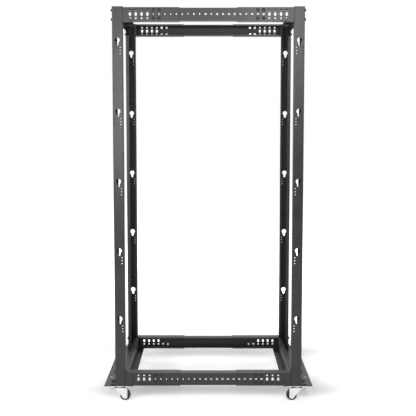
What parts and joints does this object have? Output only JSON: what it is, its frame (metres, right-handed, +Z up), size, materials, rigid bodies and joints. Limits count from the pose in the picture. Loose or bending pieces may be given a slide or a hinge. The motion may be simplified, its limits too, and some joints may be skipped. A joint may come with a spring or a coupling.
{
  "type": "four post open frame rack",
  "caption": "Open frame equipment rack with four channel posts, bolted telescoping side rails, base plates with floor slots and swivel casters.",
  "frame": {"origin": "on the floor under the middle of the frame", "axes": "+X towards the rear along the depth, +Y towards the left side seen from the front, +Z up"},
  "size_m": [0.9478, 0.55, 1.777],
  "materials": {
    "powder_coat": "satin black powder coat",
    "caster_zinc": "bright zinc plate on pressed steel",
    "axle_steel": "plain steel bolt and nut",
    "caster_rubber": "dark grey moulded wheel"
  },
  "bodies": {
    "frame": {"front_base_plate": "powder_coat", "front_lower_crossmember": "powder_coat", "front_upper_crossmember": "powder_coat", "front_right_post": "powder_coat", "front_right_upper_rail": "powder_coat", "front_right_lower_rail": "powder_coat", "front_left_post": "powder_coat", "front_left_upper_rail": "powder_coat", "front_left_lower_rail": "powder_coat", "rear_base_plate": "powder_coat", "rear_lower_crossmember": "powder_coat", "rear_upper_crossmember": "powder_coat", "rear_right_post": "powder_coat", "rear_right_upper_rail": "powder_coat", "rear_right_lower_rail": "powder_coat", "rear_left_post": "powder_coat", "rear_left_upper_rail": "powder_coat", "rear_left_lower_rail": "powder_coat", "right_upper_inner_rail": "powder_coat", "right_lower_inner_rail": "powder_coat", "left_upper_inner_rail": "powder_coat", "left_lower_inner_rail": "powder_coat", "front_right_caster_plate": "caster_zinc", "front_left_caster_plate": "caster_zinc", "rear_right_caster_plate": "caster_zinc", "rear_left_caster_plate": "caster_zinc"},
    "front_right_fork": {"front_right_caster_fork": "caster_zinc", "front_right_caster_axle": "axle_steel"},
    "front_right_wheel": {"front_right_caster_wheel": "caster_rubber"},
    "front_left_fork": {"front_left_caster_fork": "caster_zinc", "front_left_caster_axle": "axle_steel"},
    "front_left_wheel": {"front_left_caster_wheel": "caster_rubber"},
    "rear_right_fork": {"rear_right_caster_fork": "caster_zinc", "rear_right_caster_axle": "axle_steel"},
    "rear_right_wheel": {"rear_right_caster_wheel": "caster_rubber"},
    "rear_left_fork": {"rear_left_caster_fork": "caster_zinc", "rear_left_caster_axle": "axle_steel"},
    "rear_left_wheel": {"rear_left_caster_wheel": "caster_rubber"}
  },
  "joints": [
    {"name": "front_right_swivel", "type": "hinge", "parent": "frame", "child": "front_right_fork", "pos_m": [-0.4059, -0.244, 0.063], "axis": [0, 0, 1], "continuous": true},
    {"name": "front_right_roll", "type": "hinge", "parent": "front_right_fork", "child": "front_right_wheel", "pos_m": [-0.3819, -0.244, 0.024], "axis": [0, 1, 0], "continuous": true},
    {"name": "front_left_swivel", "type": "hinge", "parent": "frame", "child": "front_left_fork", "pos_m": [-0.4059, 0.244, 0.063], "axis": [0, 0, 1], "continuous": true},
    {"name": "front_left_roll", "type": "hinge", "parent": "front_left_fork", "child": "front_left_wheel", "pos_m": [-0.3819, 0.244, 0.024], "axis": [0, 1, 0], "continuous": true},
    {"name": "rear_right_swivel", "type": "hinge", "parent": "frame", "child": "rear_right_fork", "pos_m": [0.4059, -0.244, 0.063], "axis": [0, 0, 1], "continuous": true},
    {"name": "rear_right_roll", "type": "hinge", "parent": "rear_right_fork", "child": "rear_right_wheel", "pos_m": [0.3819, -0.244, 0.024], "axis": [0, 1, 0], "continuous": true},
    {"name": "rear_left_swivel", "type": "hinge", "parent": "frame", "child": "rear_left_fork", "pos_m": [0.4059, 0.244, 0.063], "axis": [0, 0, 1], "continuous": true},
    {"name": "rear_left_roll", "type": "hinge", "parent": "rear_left_fork", "child": "rear_left_wheel", "pos_m": [0.3819, 0.244, 0.024], "axis": [0, 1, 0], "continuous": true}
  ]
}
